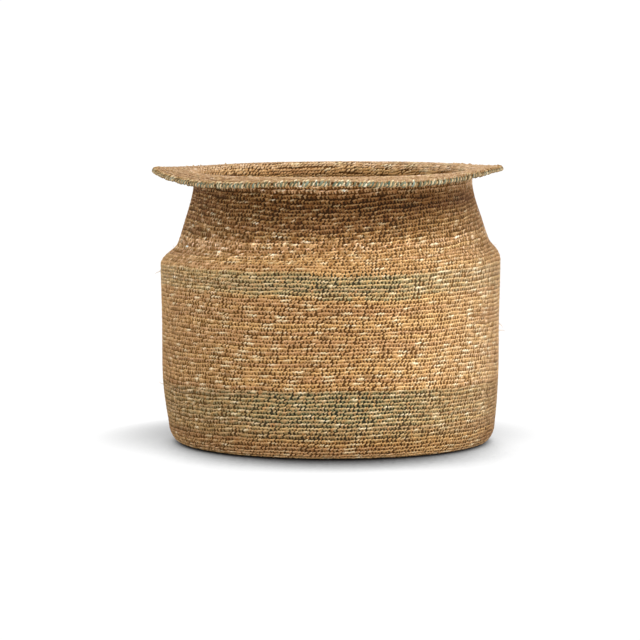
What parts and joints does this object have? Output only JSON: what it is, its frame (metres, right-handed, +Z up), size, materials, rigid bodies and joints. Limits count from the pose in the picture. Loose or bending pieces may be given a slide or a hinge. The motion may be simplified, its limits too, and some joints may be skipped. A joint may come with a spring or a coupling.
{
  "type": "belly basket",
  "caption": "Round crocheted seagrass belly basket with a drawn-in neck, a wide turned-out brim and faded green bands.",
  "frame": {"origin": "middle of the base's underside, where the first stitches are drawn up, on the floor", "axes": "+Z up out of the mouth, -Y towards the front of the picture, +X to the right of it"},
  "size_m": [0.3522, 0.3522, 0.2756],
  "materials": {
    "natural_seagrass": "dry twisted plant fibre",
    "streaked_seagrass": "dry twisted plant fibre with pale streaks",
    "green_seagrass": "dry twisted plant fibre, faded green dye",
    "edging_cord": "dry fibre, green and cream in turn"
  },
  "bodies": {
    "root": {"base_start": "natural_seagrass", "base_disc": "natural_seagrass", "foot_round": "natural_seagrass", "lower_green_band": "green_seagrass", "belly_lower_band": "streaked_seagrass", "belly_upper_band": "natural_seagrass", "upper_green_band": "green_seagrass", "shoulder_band": "natural_seagrass", "neck_band": "natural_seagrass", "brim": "streaked_seagrass", "brim_edging": "edging_cord"}
  },
  "joints": []
}
